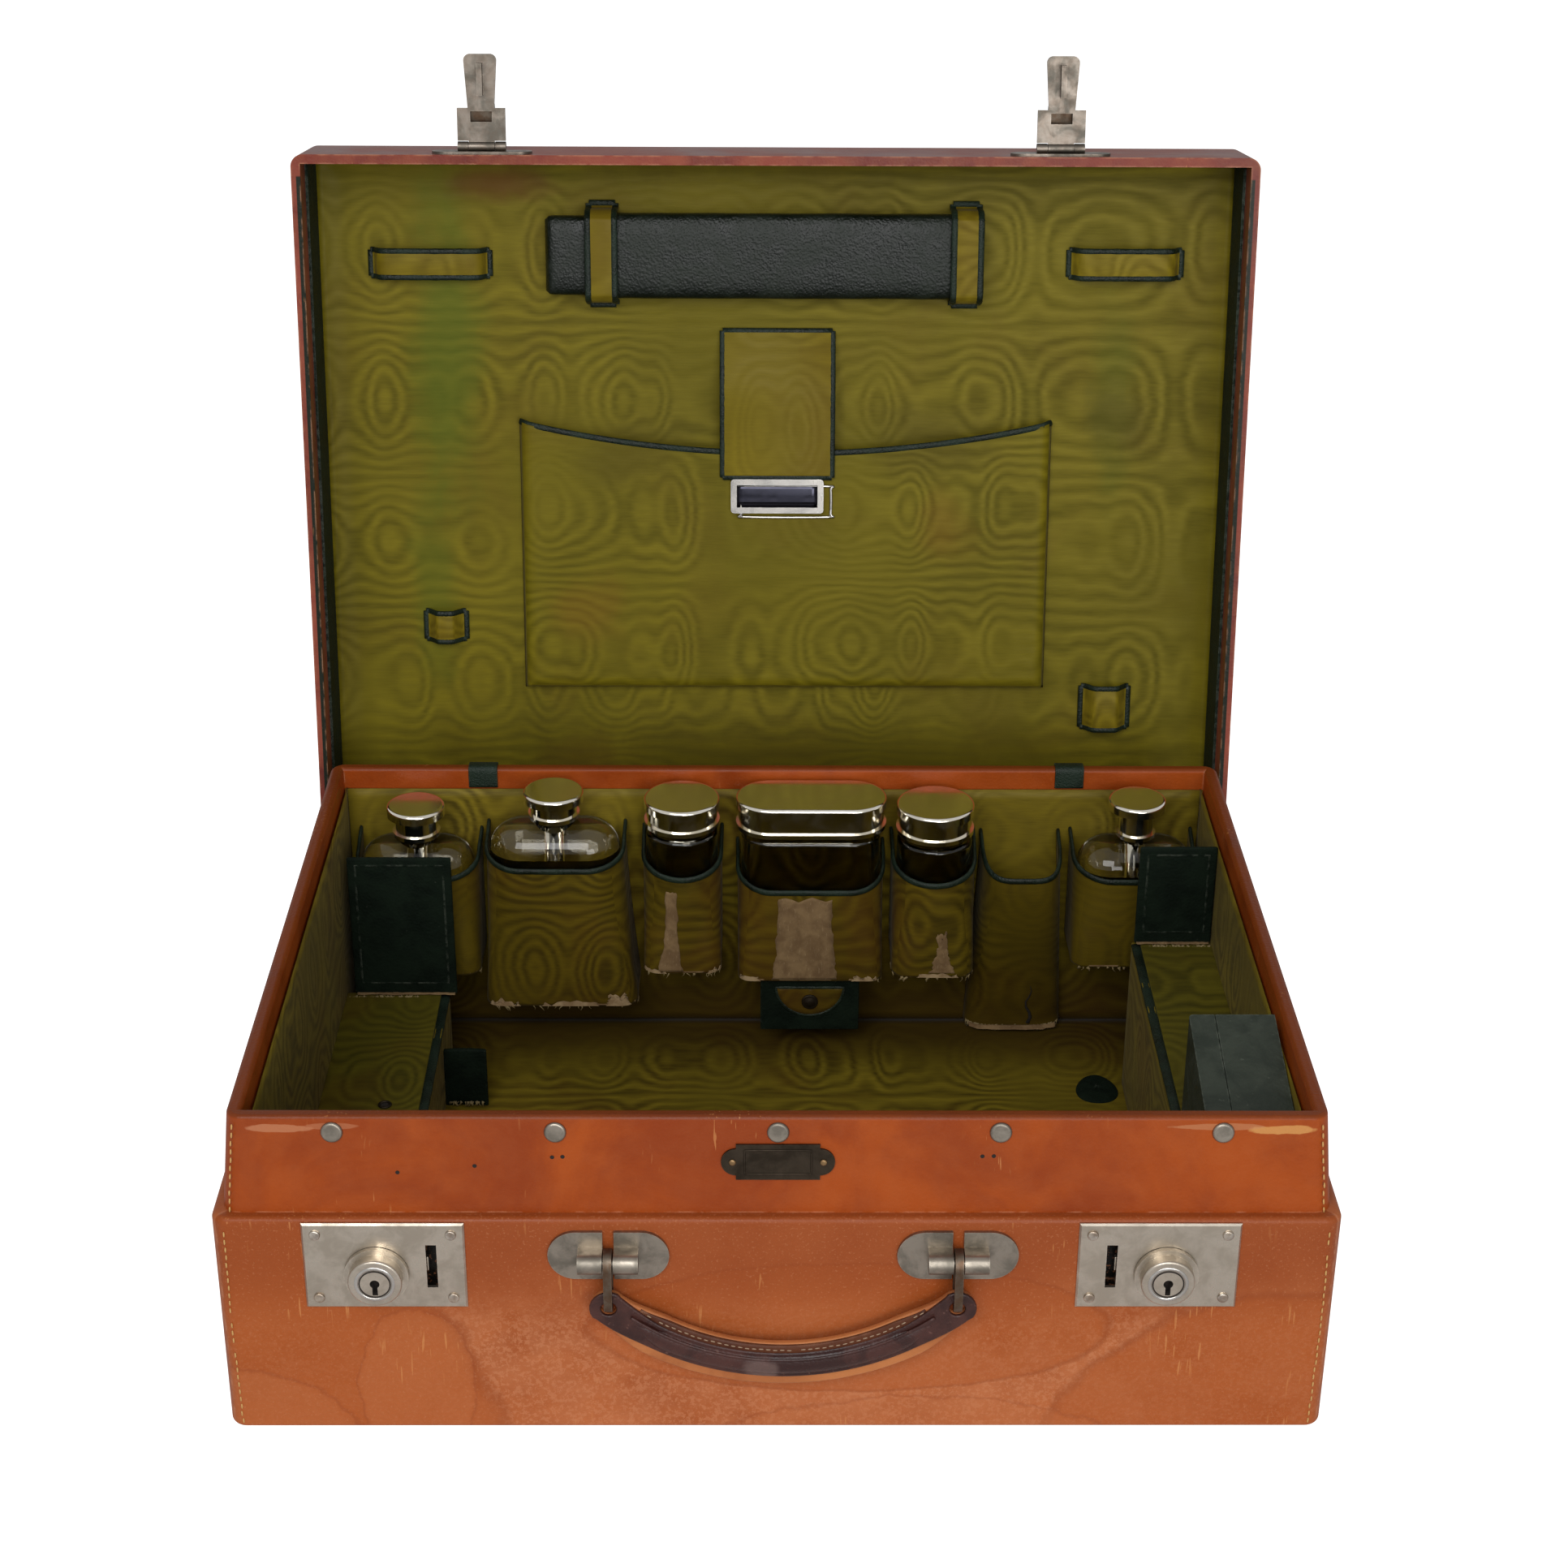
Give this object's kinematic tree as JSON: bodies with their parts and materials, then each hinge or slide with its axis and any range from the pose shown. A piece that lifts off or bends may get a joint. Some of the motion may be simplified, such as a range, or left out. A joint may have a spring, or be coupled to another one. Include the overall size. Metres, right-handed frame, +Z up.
{
  "type": "fitted dressing case",
  "caption": "Leather-covered dressing case standing open, with silk-lined tray, capped glass bottles in pockets, side shelves and lid fittings.",
  "frame": {"origin": "centre of the base's underside, where the case stands on a table", "axes": "+Z up, -Y towards the locks and handle, +X to the right seen from the locks"},
  "size_m": [0.463, 0.4574, 0.4865],
  "materials": {
    "case_leather": "worn, waxed tan hide",
    "moire_silk": "watered silk with a soft sheen",
    "green_leather": "fine grain, half gloss",
    "handle_leather": "polished by use",
    "nickel": "worn nickel plate",
    "worn_steel": "tarnished",
    "bronze": "dark patina",
    "screw_brass": "tarnished",
    "glass": "clear, slightly smoky",
    "silver": "polished"
  },
  "bodies": {
    "case": {"base_front_wall": "case_leather", "base_right_wall": "case_leather", "base_back_wall": "case_leather", "base_left_wall": "case_leather", "base_floor": "case_leather", "collar_frame": "case_leather", "base_lining": "moire_silk", "front_studs": "nickel", "nameplate": "bronze", "rim_tabs": "green_leather", "left_lock_plate": "nickel", "right_lock_plate": "nickel", "lock_screws": "screw_brass", "handle_plates": "nickel", "body_hinge_leaves": "nickel", "empty_pocket": "moire_silk", "side_partitions": "moire_silk", "side_shelves": "moire_silk", "floor_tabs": "green_leather", "left_flask_pocket": "moire_silk", "wide_flask_pocket": "moire_silk", "small_jar_pocket": "moire_silk", "oval_jar_pocket": "moire_silk", "large_jar_pocket": "moire_silk", "right_flask_pocket": "moire_silk"},
    "lid": {"lid_walls": "case_leather", "lid_top_board": "case_leather", "lid_silk": "moire_silk", "lid_end_facings": "green_leather", "lid_hinge_leaves": "nickel", "hasp_plates": "nickel", "case_straps": "moire_silk", "tool_loops": "moire_silk", "document_pouch": "moire_silk"},
    "left_hasp": {"left_hasp": "nickel"},
    "right_hasp": {"right_hasp": "nickel"},
    "left_lock_knob": {"left_lock_knob": "nickel"},
    "right_lock_knob": {"right_lock_knob": "nickel"},
    "handle": {"handle_rings": "worn_steel", "handle_grip": "handle_leather"},
    "left_flap": {"left_flap": "green_leather"},
    "right_flap": {"right_flap": "green_leather"},
    "snap_tab": {"snap_tab": "green_leather"},
    "pouch_strap": {"pouch_strap": "moire_silk", "strap_buckle": "nickel"},
    "long_case": {"long_case": "green_leather"},
    "leather_box": {"leather_box": "green_leather"},
    "leather_box_cover": {"leather_box_cover": "green_leather"},
    "left_flask": {"left_flask": "glass"},
    "left_flask_cap": {"left_flask_cap": "silver"},
    "wide_flask": {"wide_flask": "glass"},
    "wide_flask_cap": {"wide_flask_cap": "silver"},
    "small_jar": {"small_jar": "glass"},
    "small_jar_cap": {"small_jar_cap": "silver"},
    "oval_jar": {"oval_jar": "glass"},
    "oval_jar_cap": {"oval_jar_cap": "silver"},
    "large_jar": {"large_jar": "glass"},
    "large_jar_cap": {"large_jar_cap": "silver"},
    "right_flask": {"right_flask": "glass"},
    "right_flask_cap": {"right_flask_cap": "silver"}
  },
  "joints": [
    {"name": "lid_hinge", "type": "hinge", "parent": "case", "child": "lid", "pos_m": [0, 0.17, 0.1068], "axis": [-1, 0, 0], "range_deg": [-99, 0]},
    {"name": "left_hasp_hinge", "type": "hinge", "parent": "lid", "child": "left_hasp", "pos_m": [-0.1409, 0.2325, 0.44387], "axis": [-1, 0, 0], "range_deg": [-90, 0]},
    {"name": "left_lock_slide", "type": "slide", "parent": "case", "child": "left_lock_knob", "axis": [-1, 0, 0], "range_m": [0, 0.004], "stiffness_N_per_m": 200},
    {"name": "right_hasp_hinge", "type": "hinge", "parent": "lid", "child": "right_hasp", "pos_m": [0.1363, 0.2325, 0.44387], "axis": [-1, 0, 0], "range_deg": [-90, 0]},
    {"name": "right_lock_slide", "type": "slide", "parent": "case", "child": "right_lock_knob", "axis": [1, 0, 0], "range_m": [0, 0.004], "stiffness_N_per_m": 200},
    {"name": "handle_swing", "type": "hinge", "parent": "case", "child": "handle", "pos_m": [0.0023, -0.1753, 0.0896], "axis": [-1, 0, 0], "range_deg": [0, 150]},
    {"name": "left_flap_fold", "type": "hinge", "parent": "case", "child": "left_flap", "pos_m": [-0.1842, 0.1067, 0.0496], "axis": [-1, 0, 0], "range_deg": [-90, 0]},
    {"name": "right_flap_fold", "type": "hinge", "parent": "case", "child": "right_flap", "pos_m": [0.19495, 0.0887, 0.0896], "axis": [-1, 0, 0], "range_deg": [-90, 0]},
    {"name": "snap_tab_swing", "type": "hinge", "parent": "case", "child": "snap_tab", "pos_m": [0.0182, 0.1207, 0.0482], "axis": [-1, 0, 0], "range_deg": [0, 80]},
    {"name": "pouch_strap_lift", "type": "hinge", "parent": "lid", "child": "pouch_strap", "pos_m": [0.0012, 0.25494, 0.34646], "axis": [-1, 0, 0], "range_deg": [0, 60]},
    {"name": "long_case_slide", "type": "slide", "parent": "lid", "child": "long_case", "axis": [1, 0, 0], "range_m": [-0.025, 0.04]},
    {"name": "left_flask_lift", "type": "slide", "parent": "case", "child": "left_flask", "axis": [0, 0, 1], "range_m": [0, 0.08]},
    {"name": "left_flask_cap_lift", "type": "slide", "parent": "left_flask", "child": "left_flask_cap", "axis": [0, 0, 1], "range_m": [0, 0.018]},
    {"name": "wide_flask_lift", "type": "slide", "parent": "case", "child": "wide_flask", "axis": [0, 0, 1], "range_m": [0, 0.08]},
    {"name": "wide_flask_cap_lift", "type": "slide", "parent": "wide_flask", "child": "wide_flask_cap", "axis": [0, 0, 1], "range_m": [0, 0.018]},
    {"name": "small_jar_lift", "type": "slide", "parent": "case", "child": "small_jar", "axis": [0, 0, 1], "range_m": [0, 0.08]},
    {"name": "small_jar_cap_lift", "type": "slide", "parent": "small_jar", "child": "small_jar_cap", "axis": [0, 0, 1], "range_m": [0, 0.018]},
    {"name": "oval_jar_lift", "type": "slide", "parent": "case", "child": "oval_jar", "axis": [0, 0, 1], "range_m": [0, 0.08]},
    {"name": "oval_jar_cap_lift", "type": "slide", "parent": "oval_jar", "child": "oval_jar_cap", "axis": [0, 0, 1], "range_m": [0, 0.018]},
    {"name": "large_jar_lift", "type": "slide", "parent": "case", "child": "large_jar", "axis": [0, 0, 1], "range_m": [0, 0.08]},
    {"name": "large_jar_cap_lift", "type": "slide", "parent": "large_jar", "child": "large_jar_cap", "axis": [0, 0, 1], "range_m": [0, 0.018]},
    {"name": "right_flask_lift", "type": "slide", "parent": "case", "child": "right_flask", "axis": [0, 0, 1], "range_m": [0, 0.08]},
    {"name": "right_flask_cap_lift", "type": "slide", "parent": "right_flask", "child": "right_flask_cap", "axis": [0, 0, 1], "range_m": [0, 0.018]},
    {"name": "leather_box_lift", "type": "slide", "parent": "case", "child": "leather_box", "axis": [0, 0, 1], "range_m": [0, 0.07]},
    {"name": "leather_box_cover_hinge", "type": "hinge", "parent": "leather_box", "child": "leather_box_cover", "pos_m": [0.1874, -0.076, 0.1473], "axis": [0, -0.9744, -0.225], "range_deg": [0, 100]}
  ]
}
